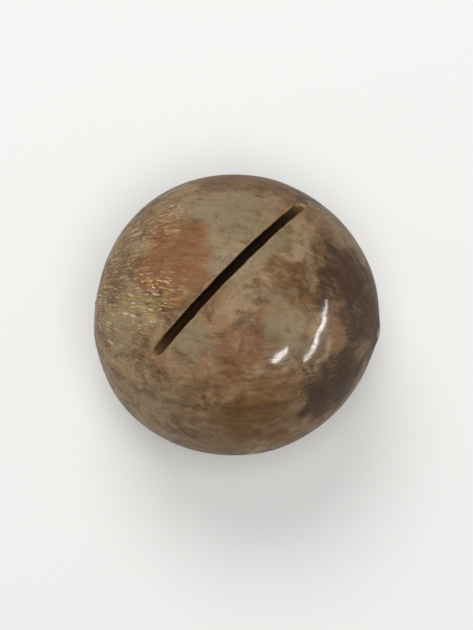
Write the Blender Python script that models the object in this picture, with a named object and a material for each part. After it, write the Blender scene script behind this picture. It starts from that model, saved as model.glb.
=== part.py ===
# A macadamia nut in its shell, with the narrow slit that is sawn in it for opening.
# It grew as one piece and is one solid. Metres, +Z up, lying on a small flat spot at z = 0.

from math import asin, cos, pi, radians, sin, sqrt

import bmesh
import bpy
import numpy as np
from mathutils import Matrix, Vector

MM = 0.001

# Driving dimensions of the shell
NUT_DIAMETER = 25.5 * MM
NUT_RADIUS = NUT_DIAMETER / 2
REST_SPOT_DIAMETER = 5.0 * MM

# The shell isn't quite round: it is a little longer from its scar to its tip,
# rises to a blunt shoulder and a small point at the tip, and is dished at the scar.
AXIS_STRETCH = 0.012
SHOULDER_HEIGHT = 0.25 * MM
SHOULDER_SPREAD = radians(32)
POINT_HEIGHT = 0.26 * MM
POINT_SPREAD = radians(6)
SCAR_DEPTH = 0.55 * MM
SCAR_SPREAD = radians(24)

# A low seam runs along one side from the scar to the tip, and fades in over SEAM_FADE
# of the radius from the long axis
SEAM_HEIGHT = 0.10 * MM
SEAM_WIDTH = 1.4 * MM
SEAM_FADE = 0.25

# Slow swells that keep the shell from being a turned shape: the way each runs in the
# nut's own frame, its waves a radian, its height and its phase
SWELLS = (
    ((0.62, 0.48, 0.62), 2.6, 0.10 * MM, 0.4),
    ((-0.70, 0.66, 0.27), 3.4, 0.08 * MM, 2.1),
    ((0.21, -0.83, 0.52), 4.3, 0.05 * MM, 4.0),
    ((0.55, 0.20, -0.81), 5.6, 0.03 * MM, 1.3),
)

# How the nut lies: the heading and lift of its tip, and the roll of the seam round that axis
TIP_HEADING = radians(-9)
TIP_LIFT = radians(11)
SEAM_ROLL = radians(-131)

# The sawn slit lies in an upright plane, off the nut's centre towards SLIT_SIDE
SLIT_SIDE = radians(136.5)
SLIT_OFFSET = 0.125 * NUT_RADIUS
SLIT_WIDTH = 0.9 * MM
SLIT_DEPTH = 2.7 * MM
SLIT_HALF_ARC = radians(50.5)
SLIT_LEAN = radians(7)

# Mesh density, and how far the slit's cutter runs past the skin and past the slit's ends
ROUND_SEGMENTS = 72
ROUND_RINGS = 44
SLIT_ARC_POINTS = 25
CUTTER_MARGIN = 6 * MM
CUTTER_OVERRUN = 1.35
CAP_WELD = 0.01 * MM

SHELL_BROWN = (0.195, 0.115, 0.065, 1.0)


def clear_scene():
    for obj in list(bpy.data.objects):
        bpy.data.objects.remove(obj, do_unlink=True)


def new_collection(name):
    collection = bpy.data.collections.new(name)
    bpy.context.scene.collection.children.link(collection)
    return collection


def move_to(obj, collection):
    for holder in list(obj.users_collection):
        holder.objects.unlink(obj)
    collection.objects.link(obj)


def shell_material():
    material = bpy.data.materials.new("brown_shell")
    material.use_nodes = True
    surface = material.node_tree.nodes["Principled BSDF"]
    surface.inputs["Base Color"].default_value = SHELL_BROWN
    surface.inputs["Roughness"].default_value = 0.4
    surface.inputs["Metallic"].default_value = 0.0
    return material


def dome(angle, spread):
    """A smooth rise of 1 at angle 0 that fades out over the spread."""
    return np.exp(-((angle / spread) ** 2))


def shell_radius(directions):
    """Distance from the centre to the skin along unit vectors in the nut's own frame.

    There +Z is the tip, -Z the scar, and +X the side with the seam.
    """
    across, sideways, along = directions.T
    from_tip = np.arccos(np.clip(along, -1, 1))
    radius = NUT_RADIUS * (1 + AXIS_STRETCH * along**2)
    radius += SHOULDER_HEIGHT * dome(from_tip, SHOULDER_SPREAD)
    radius += POINT_HEIGHT * dome(from_tip, POINT_SPREAD)
    radius -= SCAR_DEPTH * dome(pi - from_tip, SCAR_SPREAD)
    on_seam_side = np.clip(across / SEAM_FADE, 0, 1)
    radius += SEAM_HEIGHT * on_seam_side * dome(sideways * NUT_RADIUS, SEAM_WIDTH)
    for heading, waves, height, phase in SWELLS:
        radius += height * np.sin(waves * (directions @ np.array(heading)) + phase)
    return radius


def nut_turn():
    """The turn that lays the nut's own frame, with +Z at its tip, into the resting frame."""
    heading = Matrix.Rotation(TIP_HEADING, 3, "Z")
    lift = Matrix.Rotation(pi / 2 - TIP_LIFT, 3, "Y")
    roll = Matrix.Rotation(SEAM_ROLL, 3, "Z")
    return heading @ lift @ roll


def mesh_points(mesh):
    points = np.empty(len(mesh.vertices) * 3)
    mesh.vertices.foreach_get("co", points)
    return points.reshape(-1, 3)


def resting_place(points):
    """Where the nut's centre goes, so that its box is centred on +Z and its spot is at z = 0."""
    middle = (points.min(axis=0) + points.max(axis=0)) / 2
    spot_radius = REST_SPOT_DIAMETER / 2
    cap_height = NUT_RADIUS - sqrt(NUT_RADIUS**2 - spot_radius**2)
    return Vector((-middle[0], -middle[1], -points[:, 2].min() - cap_height))


def make_nut(collection):
    bpy.ops.mesh.primitive_uv_sphere_add(
        segments=ROUND_SEGMENTS, ring_count=ROUND_RINGS, radius=NUT_RADIUS
    )
    nut = bpy.context.object
    nut.name = "nut_in_shell"
    nut.data.name = "nut_in_shell"
    directions = mesh_points(nut.data) / NUT_RADIUS
    skin = directions * shell_radius(directions)[:, None]
    nut.data.vertices.foreach_set("co", skin.ravel())
    nut.data.update()
    turn = nut_turn()
    nut.rotation_euler = turn.to_euler()
    nut.location = resting_place(skin @ np.array(turn).T)
    nut.data.materials.append(shell_material())
    nut.data.shade_smooth()
    nut.data.set_sharp_from_angle(angle=radians(35))
    move_to(nut, collection)
    return nut


def slit_outline():
    """The slit's side view as a band: its floor arc, and back along an arc clear of the skin.

    The nut rolls past the saw, so the floor arcs the way the shell does, but flatter: it is
    deepest half-way and runs out at both ends.
    """
    shell = sqrt(NUT_RADIUS**2 - SLIT_OFFSET**2)
    end = Vector((shell * sin(SLIT_HALF_ARC), shell * cos(SLIT_HALF_ARC)))
    deepest = shell - SLIT_DEPTH
    rise = deepest - end.y
    floor_radius = (end.x**2 + rise**2) / (2 * rise)
    centre = deepest - floor_radius
    half_turn = asin(end.x / floor_radius) * CUTTER_OVERRUN
    turns = np.linspace(-half_turn, half_turn, SLIT_ARC_POINTS)
    floor = [(floor_radius * sin(t), centre + floor_radius * cos(t)) for t in turns]
    outer_radius = floor_radius + CUTTER_MARGIN
    outer = [(outer_radius * sin(t), centre + outer_radius * cos(t)) for t in turns]
    return floor + outer[::-1]


def make_slit_cutter(centre, collection):
    outline = slit_outline()
    curve = bpy.data.curves.new("slit_outline", "CURVE")
    curve.dimensions = "2D"
    curve.fill_mode = "BOTH"
    curve.extrude = SLIT_WIDTH / 2
    spline = curve.splines.new("POLY")
    spline.points.add(len(outline) - 1)
    for point, (run, height) in zip(spline.points, outline):
        point.co = (run, height, 0, 1)
    spline.use_cyclic_u = True
    flat = bpy.data.objects.new("slit_outline", curve)
    collection.objects.link(flat)
    side = Vector((cos(SLIT_SIDE), sin(SLIT_SIDE), 0))
    run = side.cross(Vector((0, 0, 1)))
    lean = Matrix.Rotation(SLIT_LEAN, 3, side)
    turn = lean @ Matrix((run, (0, 0, 1), side)).transposed()
    flat.matrix_world = Matrix.Translation(centre + side * SLIT_OFFSET) @ turn.to_4x4()
    return curve_to_mesh(flat, "slit_cutter", collection)


def curve_to_mesh(flat, name, collection):
    """A mesh object in the curve's place, with its caps welded to its rim."""
    graph = bpy.context.evaluated_depsgraph_get()
    mesh = bpy.data.meshes.new_from_object(flat.evaluated_get(graph))
    shape = bmesh.new()
    shape.from_mesh(mesh)
    bmesh.ops.remove_doubles(shape, verts=shape.verts, dist=CAP_WELD)
    bmesh.ops.recalc_face_normals(shape, faces=shape.faces)
    shape.to_mesh(mesh)
    shape.free()
    solid = bpy.data.objects.new(name, mesh)
    collection.objects.link(solid)
    solid.matrix_world = flat.matrix_world
    bpy.data.objects.remove(flat, do_unlink=True)
    return solid


def make_table_cutter(collection):
    """A block whose top is the surface the nut lies on, to level the resting spot."""
    bpy.ops.mesh.primitive_cube_add(size=NUT_DIAMETER, location=(0, 0, -NUT_RADIUS))
    block = bpy.context.object
    block.name = "table_cutter"
    move_to(block, collection)
    return block


def cut(obj, cutter, name):
    cutter.hide_render = True
    cutter.display_type = "WIRE"
    modifier = obj.modifiers.new(name, "BOOLEAN")
    modifier.operation = "DIFFERENCE"
    modifier.solver = "EXACT"
    modifier.object = cutter


def main():
    clear_scene()
    parts = new_collection("macadamia_nut_in_shell")
    cutters = new_collection("cutters")
    nut = make_nut(parts)
    cut(nut, make_slit_cutter(nut.location, cutters), "sawn_slit")
    cut(nut, make_table_cutter(cutters), "resting_spot")


main()
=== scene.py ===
import itertools
from math import cos, pi, radians, sin, sqrt

import bmesh
import bpy
import numpy as np
from mathutils import Matrix, Vector


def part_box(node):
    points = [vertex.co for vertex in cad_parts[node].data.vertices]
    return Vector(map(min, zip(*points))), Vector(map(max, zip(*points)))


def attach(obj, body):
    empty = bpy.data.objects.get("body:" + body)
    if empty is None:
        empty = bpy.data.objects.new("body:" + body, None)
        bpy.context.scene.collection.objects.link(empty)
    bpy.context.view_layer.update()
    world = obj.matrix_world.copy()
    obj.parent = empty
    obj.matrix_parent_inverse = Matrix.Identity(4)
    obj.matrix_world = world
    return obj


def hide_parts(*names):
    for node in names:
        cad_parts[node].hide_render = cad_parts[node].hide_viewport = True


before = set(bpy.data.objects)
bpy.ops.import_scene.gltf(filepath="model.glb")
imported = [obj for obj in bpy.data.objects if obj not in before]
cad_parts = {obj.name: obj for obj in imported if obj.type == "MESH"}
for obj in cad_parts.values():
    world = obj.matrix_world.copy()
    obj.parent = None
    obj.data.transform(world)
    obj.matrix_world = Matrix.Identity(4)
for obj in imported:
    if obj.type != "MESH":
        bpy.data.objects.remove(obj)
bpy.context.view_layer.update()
mm = 0.001
tiny = 1e-6  # keeps a division from being by zero
print("frame loaded:", ", ".join(sorted(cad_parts)))


# The nut's own form, which its solid has too. In its own frame +Z is the tip, -Z the scar
# where the stalk was, and +X the side with the seam.
nut = {
    "node": "nut_in_shell",
    "body": "root",
    "slot": "brown_shell",
    "radius": 12.75 * mm,
    "axisStretch": 0.012,
    "shoulderHeight": 0.25 * mm,
    "shoulderSpread": radians(32),
    "pointHeight": 0.26 * mm,
    "pointSpread": radians(6),
    "scarDepth": 0.55 * mm,
    "scarSpread": radians(24),
    "seamHeight": 0.10 * mm,
    "seamWidth": 1.4 * mm,
    "seamFade": 0.25,
    "seamLine": 0.35 * mm,  # half the width of the dark line in it
    "swells": (  # the way each runs, its waves a radian, its height and its phase
        ((0.62, 0.48, 0.62), 2.6, 0.10 * mm, 0.4),
        ((-0.70, 0.66, 0.27), 3.4, 0.08 * mm, 2.1),
        ((0.21, -0.83, 0.52), 4.3, 0.05 * mm, 4.0),
        ((0.55, 0.20, -0.81), 5.6, 0.03 * mm, 1.3),
    ),
    "tipHeading": radians(-9),
    "tipLift": radians(11),
    "seamRoll": radians(-131),
}

# What the hand feels on the shell
relief = {
    "broadSize": 6.0 * mm, "broadHeight": 0.055 * mm,
    "dimpleSize": 2.3 * mm, "dimpleHeight": 0.018 * mm, "dimpleLayers": 2,
    "rippleSize": 0.85 * mm, "rippleHeight": 0.003 * mm,
    "fibreAcross": 0.045, "fibreAlong": 0.35, "fibreHeight": 0.003 * mm,
    "fibreFade": (1.5 * mm, 4.0 * mm),  # from the tip and the scar, where the fibres meet
    "dents": 70, "dentSizes": (0.22 * mm, 0.75 * mm), "dentDepths": (0.015 * mm, 0.06 * mm),
    "scarRadius": 3.3 * mm, "scarWobble": 0.6 * mm, "wobbleSize": 3.4 * mm,
    "scarEdge": (-0.25 * mm, 0.35 * mm),
    "scarRim": 0.07 * mm, "rimWidth": 0.42 * mm, "rimUneven": 0.6,
    "scarRough": 0.22 * mm, "roughSize": 0.7 * mm,
    "scarFibres": 0.05 * mm, "scarFibreWidth": 0.16, "scarFibreStart": (0.3 * mm, 1.2 * mm),
    "knotHeight": 0.22 * mm, "knotRadius": 0.8 * mm, "knotSmooth": 0.7, "knotUneven": 0.6,
    "eyeRadius": 0.31 * mm, "eyeDimple": 0.06 * mm,
    "grooveRadius": 1.3 * mm, "grooveDepth": 0.02 * mm, "grooveWidth": 0.45 * mm,
}

# Large stains on the upper side, and painted shade: the colour, its place seen from above (right and up
# from the nut's middle, in nut radii), its radius in the same measure and its strength. The rows
# named flecks are places where the pale flecks stand thicker. The dark maroon rows are painted shade down
# the right side and its rims, and the last two rows are painted shade along the top rim.
stainsAndShade = (
    ("flecks", -0.61, -0.02, 0.27, 0.95),
    ("flecks", -0.52, 0.51, 0.24, 0.80),
    ("olive", 0.00, 0.56, 0.42, 0.85),
    ("olive", -0.28, -0.27, 0.20, 0.90),
    ("olive", 0.34, -0.25, 0.17, 0.85),
    ("redBrown", -0.45, 0.27, 0.34, 0.95),
    ("redBrown", 0.12, -0.33, 0.22, 0.40),
    ("richBrownAndRimShade", 0.20, -0.72, 0.38, 0.95),
    ("richBrownAndRimShade", 0.45, 0.06, 0.28, 0.50),
    # painted shade: dark maroon down the right side and on its rims
    ("paintedShadeMaroon", 0.72, 0.14, 0.34, 0.95),
    ("paintedShadeMaroon", 0.66, -0.59, 0.32, 0.95),
    ("paintedShadeMaroon", 0.93, -0.06, 0.34, 0.95),
    ("paintedShadeMaroon", 0.55, 0.78, 0.20, 0.55),
    # painted shade along the top rim, in rich brown
    ("richBrownAndRimShade", 0.00, 0.965, 0.42, 0.98),
    ("richBrownAndRimShade", -0.62, 0.76, 0.22, 0.50),
)
stainEdge = {
    "full": 0.45, "gone": 1.25,  # in a stain's own radii
    "ragged": 0.45, "raggedSize": 3.2 * mm, "raggedLayers": 4,
}

# The sawn slit: an upright cut off the nut's centre, with a floor flatter than the shell
slit = {
    "side": radians(136.5),
    "offset": 0.125 * nut["radius"],
    "width": 0.9 * mm,
    "depth": 2.7 * mm,
    "halfArc": radians(50.5),
    "lean": radians(7),
    "wander": 0.03 * mm,  # how far the kerf's walls stray from straight
    "wanderSize": 2.4 * mm,
    "edgeWanderSize": 1.7 * mm,
    "sawMarks": 0.018 * mm,
    "toothSize": 0.16 * mm, "toothStretch": (0.25, 1, 1),  # the marks on the walls
    "ridgeSize": 0.2 * mm, "ridgeStretch": (0.3, 0.3, 1),  # and on the floor
    "edgeHeight": 0.8 * mm,  # the blade's cutting edge is half an ellipse this high
    "narrowest": 0.05 * mm,  # half the width where the floor runs out on the skin
    "wallFade": 0.3 * mm,  # the slit depth over which the walls open
    "bareDepth": 0.25,  # millimetres down where the floor is bare shell
    "lipSize": 0.05 * mm, "lipUneven": 0.6, "lipUnevenSize": 0.6 * mm,
    "lipDrop": 0.8, "lipCurve": 1.5,
    "lipFade": 0.5 * mm,  # the slit depth over which the worn lip fades in
    "chipSize": 0.32 * mm, "chipLength": 1.5 * mm, "chipStart": (0.02, 0.70),
    "chipSmooth": 0.75, "chipUneven": 0.45, "chipUnevenSize": 0.6 * mm,
}

# The surface grid: columns round the slit's axis, rows from one side's pole to the other's
grid = {
    "columns": 432,
    "crowding": 0.35,  # how much closer the columns stand on the slit's side
    "slitSideRows": 80,
    "farSideRows": 94,
    "lipSteps": np.array((1.1, 0.75, 0.5, 0.34, 0.24, 0.16, 0.09, 0.04, 0.0)) * mm,
    "wallRows": 13,
    "floorRows": 8,
    "weld": 0.002 * mm,
    "skinDepth": 0.03,  # millimetres below the lip where bare shell begins
    "sharpAngle": radians(50),
    "solveSteps": 8,
    "boxRows": 181, "boxColumns": 361,  # the plain grid that measures the bare form
}

# Seeds of the noises and draws. The lip and the wall beside a cut use the ones after its own.
seeds = {
    "broad": 11, "dimples": 12, "ripples": 17, "fibres": 18,
    "dents": 31, "scarEdge": 41, "scarFibres": 43, "scarRough": 44,
    "nearCut": 51, "farCut": 61, "stainsAndShade": 71, "ridges": 91,
}
noiseGain = 1.6  # brings the noise to about -1 to 1


def dome(distance, spread):  # exp(-(distance / spread)^2)
    return np.exp(-(distance / spread) ** 2)


def smoothStep(low, high, value):  # 3t^2 - 2t^3, with t the share of the way from low to high
    share = np.clip((value - low) / (high - low), 0, 1)
    return share * share * (3 - 2 * share)


def gradientNoise(points, size, seed):
    # At each corner of a point's cell stands a random unit vector g. The noise is the sum,
    # over the eight corners, of the fade weights times g . (the point's offset from it).
    source = np.random.default_rng(seed)
    order = source.permutation(256)
    leanings = source.normal(size=(256, 3))
    leanings /= np.linalg.norm(leanings, axis=1)[:, None]
    scaled = points / size
    cell = np.floor(scaled).astype(int)
    inside = scaled - cell
    fade = inside ** 3 * (inside * (inside * 6 - 15) + 10)
    total = np.zeros(points.shape[:-1])
    for corner in itertools.product((0, 1), repeat=3):
        x, y, z = np.moveaxis((cell + corner) & 255, -1, 0)
        chosen = leanings[order[(order[(order[x] + y) & 255] + z) & 255]]
        weight = np.where(corner, fade, 1 - fade).prod(axis=-1)
        total += weight * ((inside - corner) * chosen).sum(axis=-1)
    return total * noiseGain


def layeredNoise(points, size, seed, layers=3):  # noise at size, size / 2, size / 4, each half as high
    return sum(gradientNoise(points, size / 2 ** k, seed + k) / 2 ** k for k in range(layers))


def nutTurn():
    # The turn that lays the nut's own frame in the resting frame: heading . lift . roll
    heading = Matrix.Rotation(nut["tipHeading"], 3, "Z")
    lift = Matrix.Rotation(pi / 2 - nut["tipLift"], 3, "Y")
    roll = Matrix.Rotation(nut["seamRoll"], 3, "Z")
    return np.array(heading @ lift @ roll)


def bareRadius(own):
    # R (1 + k cos^2 t) + shoulder + point - scar dish + seam + swells, t the angle from the tip
    across, sideways, along = np.moveaxis(own, -1, 0)
    fromTip = np.arccos(np.clip(along, -1, 1))
    radius = nut["radius"] * (1 + nut["axisStretch"] * along ** 2)
    radius += nut["shoulderHeight"] * dome(fromTip, nut["shoulderSpread"])
    radius += nut["pointHeight"] * dome(fromTip, nut["pointSpread"])
    radius -= nut["scarDepth"] * dome(pi - fromTip, nut["scarSpread"])
    seamSide = np.clip(across / nut["seamFade"], 0, 1)
    radius += nut["seamHeight"] * seamSide * dome(sideways * nut["radius"], nut["seamWidth"])
    for heading, waves, height, phase in nut["swells"]:
        radius += height * np.sin(waves * (own @ np.array(heading)) + phase)
    return radius


def grainCoordinates(own):
    # (cos f, sin f, t): f goes round the long axis and t down it, so patterns follow the fibres
    across, sideways, along = np.moveaxis(own, -1, 0)
    reach = np.maximum(np.hypot(across, sideways), tiny)
    return np.stack((across / reach, sideways / reach, np.arccos(np.clip(along, -1, 1))), axis=-1)


def dentHeights(own):
    # Each dent is a small dome pushed in at a seeded place: -depth exp(-(distance / size)^2)
    source = np.random.default_rng(seeds["dents"])
    places = source.normal(size=(relief["dents"], 3))
    places /= np.linalg.norm(places, axis=1)[:, None]
    sizes = source.uniform(*relief["dentSizes"], relief["dents"])
    depths = source.uniform(*relief["dentDepths"], relief["dents"])
    total = np.zeros(own.shape[:-1])
    for place, size, depth in zip(places, sizes, depths):
        distance = nut["radius"] * np.arccos(np.clip(own @ place, -1, 1))
        total -= depth * dome(distance, size)
    return total


def scarHeights(own, grain, fromScar):
    # A rough disc of fibres that run out from a central knot, with a low uneven rim round it
    points = own * nut["radius"]
    edge = relief["scarRadius"] - fromScar
    edge += relief["scarWobble"] * layeredNoise(points, relief["wobbleSize"], seeds["scarEdge"])
    inside = smoothStep(*relief["scarEdge"], edge)
    rough = layeredNoise(points, relief["roughSize"], seeds["scarRough"])
    strands = gradientNoise(grain, relief["scarFibreWidth"], seeds["scarFibres"])
    strands *= smoothStep(*relief["scarFibreStart"], fromScar)
    height = relief["scarRim"] * dome(edge, relief["rimWidth"]) * (1 + relief["rimUneven"] * rough)
    height += inside * (relief["scarRough"] * rough + relief["scarFibres"] * strands)
    knot = relief["knotHeight"] * dome(fromScar, relief["knotRadius"])
    height += knot * (relief["knotSmooth"] + relief["knotUneven"] * rough)
    return height, edge


def tipHeights(fromTip):
    # A shallow ring round the point, and a dimple in its eye
    height = -relief["grooveDepth"] * dome(fromTip - relief["grooveRadius"], relief["grooveWidth"])
    return height - relief["eyeDimple"] * dome(fromTip, relief["eyeRadius"])


def stainAndShadeMarks(own, points):
    # For each colour, how stained or painted with shade a point is: 1 - the product of (1 - strength) over
    # its stains, each full near its middle and gone just past its radius, with the distance made ragged by
    # noise
    noise = layeredNoise(points, stainEdge["raggedSize"], seeds["stainsAndShade"], stainEdge["raggedLayers"])
    ragged = stainEdge["ragged"] * noise
    clear = {colour: np.ones(own.shape[:-1]) for colour, *_ in stainsAndShade}
    for colour, right, up, size, strength in stainsAndShade:
        place = np.array((right, up, sqrt(1 - right ** 2 - up ** 2))) @ nutTurn()
        distance = np.arccos(np.clip(own @ place, -1, 1)) / size
        clear[colour] *= 1 - strength * smoothStep(stainEdge["gone"], stainEdge["full"], distance + ragged)
    return {colour + "Stain": 1 - share for colour, share in clear.items()}


def finishedSkin(own):
    # The radius with all its relief, and the marks that the materials follow, in millimetres
    points = own * nut["radius"]
    grain = grainCoordinates(own)
    fromTip = grain[..., 2] * nut["radius"]
    fromScar = (pi - grain[..., 2]) * nut["radius"]
    scar, scarEdge = scarHeights(own, grain, fromScar)
    dents = dentHeights(own)
    offPoles = smoothStep(*relief["fibreFade"], np.minimum(fromTip, fromScar))
    stretched = grain / (relief["fibreAcross"], relief["fibreAcross"], relief["fibreAlong"])
    dimples = layeredNoise(points, relief["dimpleSize"], seeds["dimples"], relief["dimpleLayers"])
    radius = bareRadius(own) + scar + tipHeights(fromTip) + dents
    radius += relief["broadHeight"] * gradientNoise(points, relief["broadSize"], seeds["broad"])
    radius += relief["dimpleHeight"] * dimples
    radius += relief["rippleHeight"] * gradientNoise(points, relief["rippleSize"], seeds["ripples"])
    radius += relief["fibreHeight"] * offPoles * gradientNoise(stretched, 1, seeds["fibres"])
    seamSide = np.clip(own[..., 0] / nut["seamFade"], 0, 1)
    marks = {
        "grain": grain,
        "fromTip": fromTip / mm,
        "fromScar": fromScar / mm,
        "scarEdge": np.clip(scarEdge / mm, -4, 4),
        "dent": -dents / relief["dentDepths"][1],
        "seam": seamSide * dome(own[..., 1] * nut["radius"], nut["seamLine"]),
    }
    marks.update(stainAndShadeMarks(own, points))
    return radius, marks


def slitAxes():
    # Across the slit, along it and up out of it, as three unit vectors
    side = Vector((cos(slit["side"]), sin(slit["side"]), 0))
    lean = Matrix.Rotation(slit["lean"], 3, side)
    along = lean @ side.cross(Vector((0, 0, 1)))
    up = lean @ Vector((0, 0, 1))
    return np.array(side), np.array(along), np.array(up)


def slitFloor(turn):
    # The floor is a circle of radius f round a point h up the slit's plane, so at a turn v
    # from straight up it lies h cos v + sqrt(f^2 - h^2 sin^2 v) from the slit's axis
    shell = sqrt(nut["radius"] ** 2 - slit["offset"] ** 2)
    endRun = shell * sin(slit["halfArc"])
    rise = shell - slit["depth"] - shell * cos(slit["halfArc"])
    floorRadius = (endRun ** 2 + rise ** 2) / (2 * rise)
    height = shell - slit["depth"] - floorRadius
    return height * np.cos(turn) + np.sqrt(floorRadius ** 2 - (height * np.sin(turn)) ** 2)


def kerfHalf(height):
    # Half the slit's width at a height over its floor: w sqrt(1 - (1 - height / edge)^2) beside
    # the blade's rounded edge, and w above it. So the slit narrows where it runs out.
    below = 1 - np.clip(height / slit["edgeHeight"], 0, 1)
    return np.maximum(slit["width"] / 2 * np.sqrt(1 - below ** 2), slit["narrowest"])


def aroundSlitAxis(offset, reach, turn):
    # offset S + reach (sin v T + cos v W): v goes round the axis S that the slit lies across
    side, along, up = slitAxes()
    ring = np.sin(turn)[..., None] * along + np.cos(turn)[..., None] * up
    return offset[..., None] * side + reach[..., None] * ring


def surfaceDirections(polar, turn):  # cos a S + sin a (sin v T + cos v W), a from the pole +S
    return aroundSlitAxis(np.cos(polar), np.sin(polar), turn)


def alongCut(reach, turn, offset=0.0):  # (reach sin v, reach cos v, offset): flat in the slit's plane
    return np.stack((reach * np.sin(turn), reach * np.cos(turn), reach * 0 + offset), axis=-1)


def polarAt(offset, turn, toOwn):
    # The polar angle where the bare skin meets the plane at this offset: a = acos(offset / r(a)),
    # found by putting each answer back in
    polar = np.arccos(offset / nut["radius"])
    for _ in range(grid["solveSteps"]):
        polar = np.arccos(offset / bareRadius(surfaceDirections(polar, turn) @ toOwn))
    return polar


def wornLip(turn, depth, seed):
    # How far the worn lip reaches from the cut: a steady part, and chips where noise runs high
    points = alongCut(nut["radius"] + turn * 0, turn)
    uneven = gradientNoise(points, slit["lipUnevenSize"], seed)
    steady = slit["lipSize"] * (1 + slit["lipUneven"] * uneven)
    runs = gradientNoise(points, slit["chipLength"], seed + 1)
    bites = gradientNoise(points, slit["chipUnevenSize"], seed + 2)
    chips = slit["chipSize"] * smoothStep(*slit["chipStart"], runs)
    chips *= slit["chipSmooth"] + slit["chipUneven"] * bites
    return (steady + np.maximum(chips, 0)) * smoothStep(0, slit["lipFade"], depth)


def skinPatch(pole, edge, rows, lip, turn, toOwn):
    # From a pole to the cut's edge, in even steps and then in the lip's own. The lip is worn
    # down by drop . lip (1 - distance / lip)^curve.
    outward = np.sign(pole - edge[0])
    closing = edge + outward * grid["lipSteps"][:, None] / nut["radius"]
    share = np.arange(rows)[:, None] / rows
    polar = np.vstack((pole + (closing[0] - pole) * share, closing))
    turn = np.broadcast_to(turn, polar.shape)
    radius, marks = finishedSkin(surfaceDirections(polar, turn) @ toOwn)
    distance = np.abs(polar - edge) * nut["radius"]
    within = np.clip(1 - distance / np.maximum(lip, tiny), 0, 1)
    radius -= slit["lipDrop"] * lip * within ** slit["lipCurve"]
    marks["lip"] = np.where(lip > 0, np.clip((lip - distance) / mm, -1, 1), -1)
    marks["cutDepth"] = np.zeros_like(radius)
    return radius * np.cos(polar), radius * np.sin(polar), marks


def wallPatch(lip, sense, turn, seed):
    # From the lip down to the floor, bunched at both: height = depth (1 - smoothStep(share)).
    # The wall strays by a slow noise, has grooves from the saw's teeth, and rounds in to the
    # floor by the difference of the kerf's half widths.
    lipOffset, lipReach, lipMarks = lip
    steps = (np.arange(grid["wallRows"])[:, None] + 1) / grid["wallRows"]
    depth = np.clip(lipReach - slitFloor(turn), 0, None)
    height = depth * (1 - smoothStep(0, 1, steps))
    reach = lipReach - depth + height
    turn = np.broadcast_to(turn, reach.shape)
    place = alongCut(reach, turn)
    stray = slit["wander"] * gradientNoise(place, slit["wanderSize"], seed)
    stray += slit["sawMarks"] * gradientNoise(place * slit["toothStretch"], slit["toothSize"], seed + 1)
    foot = sense * (kerfHalf(depth) - kerfHalf(height))
    opened = smoothStep(0, slit["wallFade"], depth)
    marks = {name: np.repeat(values[None], len(steps), axis=0) for name, values in lipMarks.items()}
    marks["lip"] = np.broadcast_to(2 * opened - 1, reach.shape)
    marks["cutDepth"] = (lipReach - reach) / mm
    return lipOffset + opened * (stray - foot), reach, marks


def floorPatch(near, far, turn, toOwn):
    # From one wall's foot to the other's, on the floor's arc with the low ridges that the blade
    # left along it. Past the slit's ends the same rows lie on the skin: reach = min(floor, skin).
    steps = (np.arange(grid["floorRows"])[:, None] + 1) / (grid["floorRows"] + 1)
    offset = near + (far - near) * steps
    turn = np.broadcast_to(turn, offset.shape)
    polar = polarAt(offset, turn, toOwn)
    radius, marks = finishedSkin(surfaceDirections(polar, turn) @ toOwn)
    skin = radius * np.sin(polar)
    place = alongCut(skin, turn, offset) * slit["ridgeStretch"]
    ridges = slit["sawMarks"] * gradientNoise(place, slit["ridgeSize"], seeds["ridges"])
    reach = np.minimum(skin, slitFloor(turn) + ridges)
    marks["cutDepth"] = (skin - reach) / mm
    marks["lip"] = np.clip(2 * marks["cutDepth"] / slit["bareDepth"] - 1, -1, 1)
    return offset, reach, marks


def rowOf(patch, row):  # one row of a patch: its offsets, its reaches and its marks
    offset, reach, marks = patch
    return offset[row], reach[row], {name: values[row] for name, values in marks.items()}


def shellSurface():
    # Rows run from the pole on the slit's side over the skin, down one wall, across the floor,
    # up the other wall and over the skin to the far pole. Away from the slit the wall rows
    # fall together on the skin and are welded. Columns crowd towards the slit:
    # v = 2 pi s - crowding sin(2 pi s).
    toOwn = nutTurn()
    share = np.arange(grid["columns"]) / grid["columns"]
    turn = 2 * pi * share - grid["crowding"] * np.sin(2 * pi * share)
    rim = alongCut(nut["radius"] + turn * 0, turn)
    middle = polarAt(slit["offset"] + turn * 0, turn, toOwn)
    depth = bareRadius(surfaceDirections(middle, turn) @ toOwn) * np.sin(middle) - slitFloor(turn)
    sides = (
        (1, 0.0, grid["slitSideRows"], seeds["nearCut"]),
        (-1, pi, grid["farSideRows"], seeds["farCut"]),
    )
    lips = []
    for sense, pole, rows, seed in sides:
        wander = slit["wander"] * gradientNoise(rim, slit["edgeWanderSize"], seed)
        edge = polarAt(slit["offset"] + sense * kerfHalf(np.abs(depth)) + wander, turn, toOwn)
        skin = skinPatch(pole, edge, rows, wornLip(turn, depth, seed + 1), turn, toOwn)
        lips.append((skin, wallPatch(rowOf(skin, -1), sense, turn, seed + 5)))
    (nearSkin, nearWall), (farSkin, farWall) = lips
    floor = floorPatch(nearWall[0][-1], farWall[0][-1], turn, toOwn)
    order = (nearSkin, nearWall, floor, turnedOver(farWall), turnedOver(farSkin))
    offset = np.vstack([patch[0] for patch in order])
    reach = np.vstack([patch[1] for patch in order])
    marks = {name: np.concatenate([patch[2][name] for patch in order]) for name in floor[2]}
    turn = np.broadcast_to(turn, reach.shape)
    marks["cutPlace"] = alongCut(reach, turn, offset) / mm
    return aroundSlitAxis(offset, reach, turn), marks


def turnedOver(patch):  # the same patch with its last row first
    offset, reach, marks = patch
    return offset[::-1], reach[::-1], {name: values[::-1] for name, values in marks.items()}


def gridFaces(rows, columns):  # four corners a face; the last column joins the first
    row, column = np.meshgrid(np.arange(rows - 1), np.arange(columns), indexing="ij")
    after = (column + 1) % columns
    corners = (row * columns + column, row * columns + after,
               (row + 1) * columns + after, (row + 1) * columns + column)
    return np.stack(corners, axis=-1).reshape(-1, 4)


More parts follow.
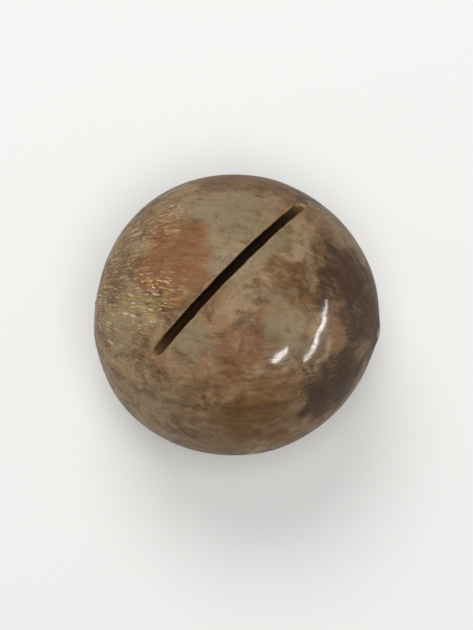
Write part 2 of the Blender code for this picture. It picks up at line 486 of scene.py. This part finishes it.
def placeInBox(points):
    # Centred on the CAD node's box in X and Y, its top where the box's top is, and flat where
    # it meets the surface that it lies on
    low, high = (np.array(corner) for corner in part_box(nut["node"]))
    rows, columns = np.linspace(0, pi, grid["boxRows"]), np.linspace(0, 2 * pi, grid["boxColumns"])
    polar, turn = np.meshgrid(rows, columns)
    directions = surfaceDirections(polar, turn)
    bare = (directions * bareRadius(directions @ nutTurn())[..., None]).reshape(-1, 3)
    shift = (low + high) / 2 - (bare.min(axis=0) + bare.max(axis=0)) / 2
    shift[2] = high[2] - bare[:, 2].max()
    placed = points + shift
    placed[:, 2] = np.maximum(placed[:, 2], low[2])
    return placed


def writeMark(mesh, name, values):  # an attribute on the mesh's points, a number or a vector each
    kind, field = ("FLOAT_VECTOR", "vector") if values.ndim == 3 else ("FLOAT", "value")
    attribute = mesh.attributes.new(name, kind, "POINT")
    attribute.data.foreach_set(field, values.astype(np.float32).ravel())


def makeNutShell(materials):
    surface, marks = shellSurface()
    points = placeInBox(surface.reshape(-1, 3))
    faces = gridFaces(*surface.shape[:2])
    mesh = bpy.data.meshes.new("nutShell")
    mesh.from_pydata(points, [], faces.tolist())
    for name, values in marks.items():
        writeMark(mesh, name, values)
    for material in materials:
        mesh.materials.append(material)
    sawn = marks["cutDepth"].ravel()[faces].min(axis=1) > grid["skinDepth"]
    mesh.polygons.foreach_set("material_index", sawn.astype(int))
    shape = bmesh.new()
    shape.from_mesh(mesh)
    bmesh.ops.remove_doubles(shape, verts=shape.verts, dist=grid["weld"])
    bmesh.ops.recalc_face_normals(shape, faces=shape.faces)
    shape.to_mesh(mesh)
    shape.free()
    mesh.shade_smooth()
    mesh.set_sharp_from_angle(angle=grid["sharpAngle"])
    shell = bpy.data.objects.new("nutShell", mesh)
    bpy.context.scene.collection.objects.link(shell)
    print("nut shell:", len(mesh.vertices), "points,", len(mesh.polygons), "faces")
    return shell


def chart(red, green, blue):
    # A colour as a paint chart gives it, 0 to 255, made linear: ((c + 0.055) / 1.055)^2.4
    share = np.array((red, green, blue)) / 255
    linear = np.where(share > 0.04045, ((share + 0.055) / 1.055) ** 2.4, share / 12.92)
    return (*linear.tolist(), 1.0)


palette = {
    "brown": chart(118, 92, 66),
    "paleBrown": chart(150, 127, 98),
    "darkBrown": chart(64, 46, 32),
    "redBrown": chart(128, 86, 60),
    # rich brown is the shell's own colour, and the stains also use it as painted shade along the top rim
    "richBrownAndRimShade": chart(102, 70, 39),
    # dark maroon, used only as painted shade on the right side and its rims
    "paintedShadeMaroon": chart(58, 39, 28),
    "olive": chart(133, 119, 94),
    "gold": chart(178, 145, 92),
    "cream": chart(214, 194, 152),
    "pore": chart(42, 29, 19),
    "scar": chart(158, 134, 98),
    "scarDark": chart(98, 74, 49),
    "sawn": chart(156, 126, 88),
    # down the slit the colours darken: partly the shell's inner colour, partly painted shade
    "sawnDeepAndShaded": chart(92, 66, 40),
    "slitFloor": chart(49, 34, 21),
}

skinFinish = {
    "tints": (  # colour, patch size, shift, where the noise starts and where it fills, strength
        ("paleBrown", 6.5 * mm, 0.00, 0.45, 0.58, 0.85),
        ("darkBrown", 4.0 * mm, 0.31, 0.52, 0.62, 0.60),
        ("redBrown", 8.0 * mm, 0.57, 0.53, 0.61, 0.50),
        ("olive", 7.0 * mm, 0.83, 0.51, 0.60, 0.65),
        ("darkBrown", 1.5 * mm, 0.47, 0.54, 0.64, 0.50),
        ("paleBrown", 1.0 * mm, 0.12, 0.55, 0.65, 0.50),
        ("gold", 0.55 * mm, 0.66, 0.60, 0.68, 0.45),
    ),
    "stainBreak": (2.2 * mm, 0.77, 0.30, 0.70), "stainRagged": 0.75,  # patches that break the edges
    "stainBrush": (26.0, 6.0, 41.0, 0.30, 0.70), "stainBrushed": 0.25,  # streaks that draw them out
    "stainStrength": 0.9,
    "streaks": (  # colour, how many across and along a radian, shift, start, full, strength
        ("darkBrown", 20.0, 3.6, 3.1, 0.58, 0.78, 0.26),
        ("richBrownAndRimShade", 44.0, 6.4, 17.3, 0.54, 0.72, 0.20),
    ),
    "scarStreaks": (  # the same, thickest round the scar
        ("gold", 34.0, 5.0, 7.7, 0.53, 0.65, 0.65),
        ("gold", 58.0, 11.0, 29.1, 0.56, 0.64, 0.65),
        ("cream", 72.0, 16.0, 12.9, 0.59, 0.65, 0.80),
    ),
    "flecksAcross": 15.0, "flecksAlong": 5.5, "fleckStrength": 0.75,
    "flecks": (1.0, 0.6, 0.36),  # cell size, share of cells, radius; the pores are given so too
    "scarReach": (19.0, 4.0, 0.08, 1.0),  # millimetres out from the scar, and how strong there
    "seamBreak": (1.8 * mm, 0.71, 0.3, 0.6), "seamStrength": 0.5,
    "pores": (0.9 * mm, 0.30, 0.16), "poreStrength": 0.55,
    "dentShadeStrength": 0.5,
    "raggedSize": 0.5 * mm,  # the small noise that frays every edge
    "chipRagged": 0.12, "chipEdge": (0.0, 0.04), "chipStrength": 0.70,
    "roughness": 0.50, "cloudy": (2.6 * mm, 0.19, 0.35, 0.70),
    "cloudyRoughness": 0.16, "fleckRoughness": 0.15, "bareRoughness": 0.36,
    "coat": 0.15, "coatRoughness": 0.12, "coatIor": 1.42, "specular": 0.03,
    "toothSize": 0.45 * mm,
    "strands": (55.0, 6.0, 5.3, 0.3, 0.7),  # their height uses only the first three
    "poreDepth": 0.9, "bareDepth": 3.5, "bump": 0.03 * mm,
}

# Distances here and at the tip are in millimetres; patches, strands and pits as on the skin
scarFinish = {
    "edge": (0.00, 0.22), "edgeRagged": 2.0, "strength": 0.92,
    "blotches": (1.2 * mm, 0.91, 0.44, 0.60), "blotchStrength": 0.80,
    "crumbs": (0.35 * mm, 0.27, 0.50, 0.62), "crumbStrength": 0.55,
    "strands": (9.0, 6.0, 21.0, 0.50, 0.62), "strandStrength": 0.40,
    "pits": (0.36 * mm, 0.60, 0.36), "pitStrength": 0.85,
    "knot": (0.95, 0.55), "knotStrength": 0.70,
    "rimWidth": 0.55, "rimRagged": 2.4, "rimBreak": (1.9 * mm, 0.52, 0.38, 0.62), "rimStrength": 0.60,
}

tipFinish = {
    "fray": (14.0, 3.0, 63.0, 0.30, 0.70), "frayed": 0.08, "ragged": 1.5,
    "ringRadius": 1.25, "ringWidth": 0.9, "ringStrength": 0.45,
    "eye": (0.80, 0.30), "eyeStrength": 0.50,
    "pinhole": (0.26, 0.10), "pinholeStrength": 0.70,
}

sawnFinish = {
    "uneven": (0.9 * mm, 0.41, 0.3, 0.7), "unevenDepth": 0.35,
    "lipDepths": (0.0, 0.25), "floorDepths": (0.15, 1.0),  # millimetres down
    "lineScale": (0.5, 7.0, 7.0), "lines": (0.50, 0.70), "lineStrength": 0.5,
    "roughLines": (0.3, 0.7), "roughness": (0.78, 0.88), "specular": 0.2,
    "toothSize": 0.25 * mm, "bump": 0.04 * mm,
}

speckShape = {"bendFiner": 2.5, "bend": 0.30, "leastSize": 0.35, "core": 0.4}
toothShape = {"finer": 4.0, "fineShare": 0.35}


def feed(tree, value, socket):  # a socket is linked, anything else is set
    if isinstance(value, bpy.types.NodeSocket):
        tree.links.new(value, socket)
    else:
        socket.default_value = value


def addNode(tree, kind, inputs=None, **settings):
    node = tree.nodes.new(kind)
    for name, value in settings.items():
        setattr(node, name, value)
    for name, value in (inputs or {}).items():
        feed(tree, value, node.inputs[name])
    return node


def compute(tree, operation, first, second=0.0):
    return addNode(tree, "ShaderNodeMath", {0: first, 1: second}, operation=operation).outputs[0]


def scaled(tree, value, factor):
    return compute(tree, "MULTIPLY", value, factor)


def centred(tree, value):  # noise from 0 to 1 becomes -0.5 to 0.5
    return compute(tree, "SUBTRACT", value, 0.5)


def ramp(tree, value, low, high, bottom=0.0, top=1.0):  # smooth from bottom at low to top at high
    inputs = {"Value": value, "From Min": low, "From Max": high, "To Min": bottom, "To Max": top}
    return addNode(tree, "ShaderNodeMapRange", inputs, interpolation_type="SMOOTHSTEP").outputs[0]


def blend(tree, share, first, second):  # first where share is 0, second where it is 1
    node = addNode(tree, "ShaderNodeMix", {0: share, 6: first, 7: second}, data_type="RGBA")
    return node.outputs[2]


def mark(tree, name, output="Fac"):
    return addNode(tree, "ShaderNodeAttribute", attribute_name=name).outputs[output]


def newGroup(name, inputs, outputs):
    tree = bpy.data.node_groups.new(name, "ShaderNodeTree")
    for label, kind in inputs.items():
        tree.interface.new_socket(label, in_out="INPUT", socket_type=kind)
    for label in outputs:
        tree.interface.new_socket(label, in_out="OUTPUT", socket_type="NodeSocketFloat")
    return tree, tree.nodes.new("NodeGroupInput").outputs, tree.nodes.new("NodeGroupOutput").inputs


def shiftedBy(tree, vector, shift):  # the pattern moves, so two uses of a group don't coincide
    return addNode(tree, "ShaderNodeVectorMath", {0: vector, 1: shift}, operation="ADD").outputs[0]


def makePatchGroup():
    # Soft-edged patches: noise in space, cut off between Low and High
    numbers = dict.fromkeys(("Scale", "Shift", "Low", "High"), "NodeSocketFloat")
    tree, given, out = newGroup("patches", {"Place": "NodeSocketVector", **numbers}, ["Mask"])
    place = shiftedBy(tree, given["Place"], given["Shift"])
    inputs = {"Vector": place, "Scale": given["Scale"], "Detail": 8.0, "Roughness": 0.66, "Distortion": 0.5}
    noise = addNode(tree, "ShaderNodeTexNoise", inputs).outputs[0]
    feed(tree, ramp(tree, noise, given["Low"], given["High"]), out["Mask"])
    return tree


def alongGrain(tree, grain, across, along):
    # Grain coordinates with so many units round and down a radian, for patterns along the fibres
    spread = addNode(tree, "ShaderNodeCombineXYZ", {0: across, 1: across, 2: along}).outputs[0]
    return addNode(tree, "ShaderNodeVectorMath", {0: grain, 1: spread}, operation="MULTIPLY").outputs[0]


def makeFibreGroup():
    # Streaks along the fibres: noise in grain coordinates, stretched down the long axis
    numbers = dict.fromkeys(("Across", "Along", "Shift", "Low", "High"), "NodeSocketFloat")
    tree, given, out = newGroup("fibres", {"Grain": "NodeSocketVector", **numbers}, ["Mask", "Height"])
    stretched = alongGrain(tree, given["Grain"], given["Across"], given["Along"])
    inputs = {"Vector": shiftedBy(tree, stretched, given["Shift"]), "Scale": 1.0, "Detail": 3.0,
              "Roughness": 0.55, "Distortion": 0.4}
    noise = addNode(tree, "ShaderNodeTexNoise", inputs).outputs[0]
    feed(tree, ramp(tree, noise, given["Low"], given["High"]), out["Mask"])
    feed(tree, noise, out["Height"])
    return tree


def makeSpeckGroup():
    # Specks of mixed sizes: a cell shows one where its first random number is under Share, and
    # its second one makes the speck leastSize to 1 times Radius. Noise bends them out of round.
    numbers = dict.fromkeys(("Scale", "Share", "Radius"), "NodeSocketFloat")
    tree, given, out = newGroup("specks", {"Place": "NodeSocketVector", **numbers}, ["Mask"])
    finer = scaled(tree, given["Scale"], speckShape["bendFiner"])
    bend = addNode(tree, "ShaderNodeTexNoise", {"Vector": given["Place"], "Scale": finer, "Detail": 2.0})
    bend = scaled(tree, centred(tree, bend.outputs[0]), speckShape["bend"])
    cells = addNode(tree, "ShaderNodeTexVoronoi", {"Vector": given["Place"], "Scale": given["Scale"]})
    drawn = addNode(tree, "ShaderNodeSeparateColor", {"Color": cells.outputs["Color"]}).outputs
    chosen = compute(tree, "LESS_THAN", drawn["Red"], given["Share"])
    size = scaled(tree, drawn["Green"], 1 - speckShape["leastSize"])
    size = compute(tree, "ADD", size, speckShape["leastSize"])
    outer = compute(tree, "MULTIPLY", given["Radius"], size)
    inner = scaled(tree, outer, speckShape["core"])
    spot = ramp(tree, compute(tree, "ADD", cells.outputs["Distance"], bend), outer, inner)
    feed(tree, compute(tree, "MULTIPLY", chosen, spot), out["Mask"])
    return tree


def makeToothGroup():
    # Fine tooth of the shell: two noises, one a quarter of the other's size
    inputs = {"Place": "NodeSocketVector", "Scale": "NodeSocketFloat"}
    tree, given, out = newGroup("fineTooth", inputs, ["Height"])
    coarse = addNode(tree, "ShaderNodeTexNoise",
                     {"Vector": given["Place"], "Scale": given["Scale"], "Detail": 4.0, "Roughness": 0.6})
    finer = scaled(tree, given["Scale"], toothShape["finer"])
    fine = addNode(tree, "ShaderNodeTexNoise", {"Vector": given["Place"], "Scale": finer, "Detail": 2.0})
    fine = scaled(tree, fine.outputs[0], toothShape["fineShare"])
    feed(tree, compute(tree, "ADD", coarse.outputs[0], fine), out["Height"])
    return tree


groups = {
    "patches": makePatchGroup(),
    "fibres": makeFibreGroup(),
    "specks": makeSpeckGroup(),
    "fineTooth": makeToothGroup(),
}


def placeGroup(tree, name, inputs, output="Mask"):
    node = addNode(tree, "ShaderNodeGroup", node_tree=groups[name])
    for label, value in inputs.items():
        feed(tree, value, node.inputs[label])
    return node.outputs[output]


def patches(tree, place, size, shift, low, high):
    inputs = {"Place": place, "Scale": 1 / size, "Shift": shift, "Low": low, "High": high}
    return placeGroup(tree, "patches", inputs)


def fibres(tree, grain, across, along, shift, low, high, output="Mask"):
    inputs = {"Grain": grain, "Across": across, "Along": along, "Shift": shift, "Low": low, "High": high}
    return placeGroup(tree, "fibres", inputs, output)


def specks(tree, place, size, share, radius):
    return placeGroup(tree, "specks", {"Place": place, "Scale": 1 / size, "Share": share, "Radius": radius})


def toothHeight(tree, place, finish):
    return placeGroup(tree, "fineTooth", {"Place": place, "Scale": 1 / finish["toothSize"]}, "Height")


def newMaterial(name, finish):
    material = bpy.data.materials.new(name)
    material.use_nodes = True
    surface = material.node_tree.nodes["Principled BSDF"]
    surface.inputs["Specular IOR Level"].default_value = finish["specular"]
    return material, material.node_tree, surface


def makeSkinMaterial():
    # Mottled brown shell: soft patches under streaks along the fibres, with flecks that thicken
    # towards the scar, pores, painted shade in the dents, a matte scar, a pale eye at the tip and bare
    # chips at the cut
    material, tree, surface = newMaterial("polishedShell", skinFinish)
    place = addNode(tree, "ShaderNodeTexCoord").outputs["Object"]
    grain = mark(tree, "grain", "Vector")
    inputs = {"Vector": place, "Scale": 1 / skinFinish["raggedSize"], "Detail": 4.0}
    ragged = centred(tree, addNode(tree, "ShaderNodeTexNoise", inputs).outputs[0])

    tone, flecks = mottledTone(tree, place, grain)
    pores = specks(tree, place, *skinFinish["pores"])
    tone = blend(tree, scaled(tree, pores, skinFinish["poreStrength"]), tone, palette["pore"])
    # painted shade: the colour darkens in the dents, where shade would fall
    dents = scaled(tree, mark(tree, "dent"), skinFinish["dentShadeStrength"])
    tone = blend(tree, dents, tone, palette["darkBrown"])
    tone, scarMask = scarTone(tree, tone, place, grain, ragged)
    tone = tipTone(tree, tone, grain, ragged)
    chips = compute(tree, "ADD", mark(tree, "lip"), scaled(tree, ragged, skinFinish["chipRagged"]))
    chips = ramp(tree, chips, *skinFinish["chipEdge"])
    tone = blend(tree, scaled(tree, chips, skinFinish["chipStrength"]), tone, palette["sawn"])
    feed(tree, tone, surface.inputs["Base Color"])

    bare = compute(tree, "MAXIMUM", scarMask, chips)
    cloudy = scaled(tree, patches(tree, place, *skinFinish["cloudy"]), skinFinish["cloudyRoughness"])
    rough = compute(tree, "ADD", cloudy, skinFinish["roughness"])
    rough = compute(tree, "ADD", rough, scaled(tree, flecks, skinFinish["fleckRoughness"]))
    rough = compute(tree, "ADD", rough, scaled(tree, bare, skinFinish["bareRoughness"]))
    feed(tree, rough, surface.inputs["Roughness"])
    coat = scaled(tree, compute(tree, "SUBTRACT", 1.0, bare), skinFinish["coat"])
    feed(tree, coat, surface.inputs["Coat Weight"])
    surface.inputs["Coat Roughness"].default_value = skinFinish["coatRoughness"]
    surface.inputs["Coat IOR"].default_value = skinFinish["coatIor"]

    strandHeight = fibres(tree, grain, *skinFinish["strands"], "Height")
    height = compute(tree, "ADD", toothHeight(tree, place, skinFinish), strandHeight)
    height = compute(tree, "SUBTRACT", height, scaled(tree, pores, skinFinish["poreDepth"]))
    crumbled = scaled(tree, bare, scaled(tree, ragged, skinFinish["bareDepth"]))
    height = compute(tree, "ADD", height, crumbled)
    inputs = {"Height": height, "Distance": skinFinish["bump"]}
    feed(tree, addNode(tree, "ShaderNodeBump", inputs).outputs[0], surface.inputs["Normal"])
    return material


def mottledTone(tree, place, grain):
    # Patches over the ground colour, then the large stains and the painted shade on the right side and top
    # rim, then streaks along the fibres
    nearScar = ramp(tree, mark(tree, "fromScar"), *skinFinish["scarReach"])
    nearScar = compute(tree, "MAXIMUM", nearScar, mark(tree, "flecksStain"))
    tone = palette["brown"]
    for colour, *patch, strength in skinFinish["tints"]:
        tint = scaled(tree, patches(tree, place, *patch), strength)
        tone = blend(tree, tint, tone, palette[colour])
    broken = centred(tree, patches(tree, place, *skinFinish["stainBreak"]))
    brushed = centred(tree, fibres(tree, grain, *skinFinish["stainBrush"]))
    broken = compute(tree, "ADD", scaled(tree, broken, skinFinish["stainRagged"]),
                     scaled(tree, brushed, skinFinish["stainBrushed"]))
    # the stains, some of which are painted shade on the right side and top rim
    for colour in dict.fromkeys(stain[0] for stain in stainsAndShade if stain[0] in palette):
        stained = compute(tree, "ADD", mark(tree, colour + "Stain"), broken)
        stained = ramp(tree, stained, 0.0, 1.0, 0.0, skinFinish["stainStrength"])
        tone = blend(tree, stained, tone, palette[colour])
    for colour, *streak, strength in skinFinish["streaks"]:
        dark = scaled(tree, fibres(tree, grain, *streak), strength)
        tone = blend(tree, dark, tone, palette[colour])
    for colour, *streak, strength in skinFinish["scarStreaks"]:
        pale = scaled(tree, scaled(tree, fibres(tree, grain, *streak), strength), nearScar)
        tone = blend(tree, pale, tone, palette[colour])
    stretched = alongGrain(tree, grain, skinFinish["flecksAcross"], skinFinish["flecksAlong"])
    flecks = scaled(tree, specks(tree, stretched, *skinFinish["flecks"]), nearScar)
    tone = blend(tree, scaled(tree, flecks, skinFinish["fleckStrength"]), tone, palette["cream"])
    seam = scaled(tree, mark(tree, "seam"), patches(tree, place, *skinFinish["seamBreak"]))
    tone = blend(tree, scaled(tree, seam, skinFinish["seamStrength"]), tone, palette["darkBrown"])
    return tone, compute(tree, "MAXIMUM", flecks, pale)  # pale is the cream streaks, the last


def scarTone(tree, tone, place, grain, ragged):
    # A pale rough disc, blotched, faintly fibrous and full of small pits where the stalk's
    # strands came in, dark round its knot and round its edge
    edge = mark(tree, "scarEdge")
    frayed = scaled(tree, ragged, scarFinish["edgeRagged"])
    inside = ramp(tree, compute(tree, "ADD", edge, frayed), *scarFinish["edge"])
    blotches = scaled(tree, patches(tree, place, *scarFinish["blotches"]), scarFinish["blotchStrength"])
    disc = blend(tree, blotches, palette["scar"], palette["scarDark"])
    crumbs = scaled(tree, patches(tree, place, *scarFinish["crumbs"]), scarFinish["crumbStrength"])
    disc = blend(tree, crumbs, disc, palette["cream"])
    strands = scaled(tree, fibres(tree, grain, *scarFinish["strands"]), scarFinish["strandStrength"])
    disc = blend(tree, strands, disc, palette["darkBrown"])
    pits = scaled(tree, specks(tree, place, *scarFinish["pits"]), scarFinish["pitStrength"])
    disc = blend(tree, pits, disc, palette["pore"])
    knot = ramp(tree, compute(tree, "ADD", mark(tree, "fromScar"), frayed), *scarFinish["knot"])
    disc = blend(tree, scaled(tree, knot, scarFinish["knotStrength"]), disc, palette["darkBrown"])
    tone = blend(tree, scaled(tree, inside, scarFinish["strength"]), tone, disc)
    rim = compute(tree, "ADD", edge, scaled(tree, ragged, scarFinish["rimRagged"]))
    rim = ramp(tree, compute(tree, "ABSOLUTE", rim), scarFinish["rimWidth"], 0.0)
    rim = scaled(tree, rim, patches(tree, place, *scarFinish["rimBreak"]))
    return blend(tree, scaled(tree, rim, scarFinish["rimStrength"]), tone, palette["darkBrown"]), inside


def tipTone(tree, tone, grain, ragged):
    # A small pale eye that frays out along the fibres, in a soft dark ring, with a dark pinhole
    frayed = centred(tree, fibres(tree, grain, *tipFinish["fray"]))
    fromTip = compute(tree, "ADD", mark(tree, "fromTip"), scaled(tree, ragged, tipFinish["ragged"]))
    fromTip = compute(tree, "ADD", fromTip, scaled(tree, frayed, tipFinish["frayed"]))
    ring = compute(tree, "ABSOLUTE", compute(tree, "SUBTRACT", fromTip, tipFinish["ringRadius"]))
    ring = scaled(tree, ramp(tree, ring, tipFinish["ringWidth"], 0.0), tipFinish["ringStrength"])
    tone = blend(tree, ring, tone, palette["darkBrown"])
    eye = scaled(tree, ramp(tree, fromTip, *tipFinish["eye"]), tipFinish["eyeStrength"])
    tone = blend(tree, eye, tone, palette["cream"])
    pinhole = scaled(tree, ramp(tree, fromTip, *tipFinish["pinhole"]), tipFinish["pinholeStrength"])
    return blend(tree, pinhole, tone, palette["scarDark"])


def makeSawnMaterial():
    # The cut's walls and floor: bare shell that darkens with depth, partly its darker inner layers and
    # partly painted shade down the narrow slit, lined along the cut
    material, tree, surface = newMaterial("sawnShell", sawnFinish)
    place = addNode(tree, "ShaderNodeTexCoord").outputs["Object"]
    uneven = centred(tree, patches(tree, place, *sawnFinish["uneven"]))
    depth = compute(tree, "ADD", mark(tree, "cutDepth"), scaled(tree, uneven, sawnFinish["unevenDepth"]))
    # darker with depth: partly the shell's inner layers, partly painted shade
    tone = blend(tree, ramp(tree, depth, *sawnFinish["lipDepths"]), palette["sawn"], palette["sawnDeepAndShaded"])
    tone = blend(tree, ramp(tree, depth, *sawnFinish["floorDepths"]), tone, palette["slitFloor"])
    inputs = {0: mark(tree, "cutPlace", "Vector"), 1: sawnFinish["lineScale"]}
    along = addNode(tree, "ShaderNodeVectorMath", inputs, operation="MULTIPLY").outputs[0]
    lines = addNode(tree, "ShaderNodeTexNoise", {"Vector": along, "Scale": 1.0, "Detail": 3.0}).outputs[0]
    dark = ramp(tree, lines, *sawnFinish["lines"], 0.0, sawnFinish["lineStrength"])
    feed(tree, blend(tree, dark, tone, palette["pore"]), surface.inputs["Base Color"])
    rough = ramp(tree, lines, *sawnFinish["roughLines"], *sawnFinish["roughness"])
    feed(tree, rough, surface.inputs["Roughness"])
    height = compute(tree, "ADD", toothHeight(tree, place, sawnFinish), lines)
    inputs = {"Height": height, "Distance": sawnFinish["bump"]}
    feed(tree, addNode(tree, "ShaderNodeBump", inputs).outputs[0], surface.inputs["Normal"])
    return material


shell = makeNutShell((makeSkinMaterial(), makeSawnMaterial()))
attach(shell, nut["body"])
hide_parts(nut["node"])
print("materials:", ", ".join(material.name for material in shell.data.materials))


# Pale floor, soft lights from above, and a camera that looks almost straight down
studio = {
    "floorSize": 16.0,
    "floorColour": chart(226, 226, 225),
    "floorRoughness": 0.9,
    "floorSpecular": 0.05,  # almost no gloss, or the far floor mirrors the dim air
    "airColour": (0.94, 0.96, 1.0, 1.0),
    "airStrength": 0.18,
    "horizonColour": chart(207, 207, 206),  # what the camera sees past the floor
    "softboxes": (  # name, heading, lift, distance, width, length, power
        ("keyLight", radians(-14), radians(58), 0.34, 0.20, 0.16, 0.52),
        ("stripLight", radians(104), radians(20), 0.28, 0.22, 0.016, 1.80),
        ("glintLight", radians(137), radians(38), 0.30, 0.09, 0.028, 1.05),
    ),
    "onlyReflection": ("stripLight", "glintLight"),  # these two only show in the polish
    "skylight": (radians(165), radians(80)),  # heading and lift; it leaves no disc on the nut
    "skylightStrength": 2.1,
    "skylightAngle": radians(38),
    "lightColour": (1.0, 0.99, 0.975),
    "cameraElevation": radians(82),
    "lens": 120.0,
    "nearest": 0.01,  # metres from the camera
    "nutShare": 0.60,  # of the picture's width
    "pictureWidth": 473,
    "pictureHeight": 630,
}


def compass(heading, lift):  # unit vector; heading 0 is the far side (+Y) and it grows clockwise
    return Vector((sin(heading) * cos(lift), cos(heading) * cos(lift), sin(lift)))


def putInPlace(data, away, target, distance):  # a lamp or camera that looks back at its target
    holder = bpy.data.objects.new(data.name, data)
    holder.location = target + away * distance
    holder.rotation_euler = away.to_track_quat("Z", "Y").to_euler()
    bpy.context.scene.collection.objects.link(holder)
    return holder


def makeFloor():
    half = studio["floorSize"] / 2
    corners = [(-half, -half, 0), (half, -half, 0), (half, half, 0), (-half, half, 0)]
    mesh = bpy.data.meshes.new("studioFloor")
    mesh.from_pydata(corners, [], [(0, 1, 2, 3)])
    material = bpy.data.materials.new("paleFloor")
    material.use_nodes = True
    surface = material.node_tree.nodes["Principled BSDF"]
    surface.inputs["Base Color"].default_value = studio["floorColour"]
    surface.inputs["Roughness"].default_value = studio["floorRoughness"]
    surface.inputs["Specular IOR Level"].default_value = studio["floorSpecular"]
    mesh.materials.append(material)
    floor = bpy.data.objects.new("studioFloor", mesh)
    bpy.context.scene.collection.objects.link(floor)


def makeLights(target):
    for name, heading, lift, distance, width, length, power in studio["softboxes"]:
        light = bpy.data.lights.new(name, "AREA")
        light.shape = "ELLIPSE"
        light.size = width
        light.size_y = length
        light.energy = power
        light.color = studio["lightColour"]
        holder = putInPlace(light, compass(heading, lift), target, distance)
        holder.visible_diffuse = name not in studio["onlyReflection"]


def makeSkylight():  # even light from above, so the floor stays pale as far as it goes
    light = bpy.data.lights.new("skylight", "SUN")
    light.energy = studio["skylightStrength"]
    light.angle = studio["skylightAngle"]
    light.color = studio["lightColour"]
    holder = putInPlace(light, compass(*studio["skylight"]), Vector(), 0)
    holder.visible_glossy = False


def makeAir():  # faint light from all round; the camera itself sees the paler horizon
    world = bpy.data.worlds.new("studioAir")
    world.use_nodes = True
    tree = world.node_tree
    air = tree.nodes["Background"]
    air.inputs["Color"].default_value = studio["airColour"]
    air.inputs["Strength"].default_value = studio["airStrength"]
    horizon = addNode(tree, "ShaderNodeBackground", {"Color": studio["horizonColour"]}).outputs[0]
    seen = addNode(tree, "ShaderNodeLightPath").outputs["Is Camera Ray"]
    shown = addNode(tree, "ShaderNodeMixShader", {0: seen, 1: air.outputs[0], 2: horizon}).outputs[0]
    tree.links.new(shown, tree.nodes["World Output"].inputs["Surface"])
    bpy.context.scene.world = world


def makeCamera(low, high):
    # The nut fills its share of the width: distance = width / (2 share tan(half the angle)),
    # and the sensor's 36 mm lie along the picture's height
    camera = bpy.data.cameras.new("camera")
    camera.lens = studio["lens"]
    camera.clip_start = studio["nearest"]
    halfWidth = camera.sensor_width / 2 / camera.lens * studio["pictureWidth"] / studio["pictureHeight"]
    distance = (high.x - low.x) / (2 * studio["nutShare"] * halfWidth)
    away = compass(pi, studio["cameraElevation"])
    bpy.context.scene.camera = putInPlace(camera, away, (low + high) / 2, distance)


low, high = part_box(nut["node"])
makeFloor()
makeLights((low + high) / 2)
makeSkylight()
makeAir()
makeCamera(low, high)
bpy.context.scene.view_settings.view_transform = "Standard"
print("studio: floor, lights and camera")
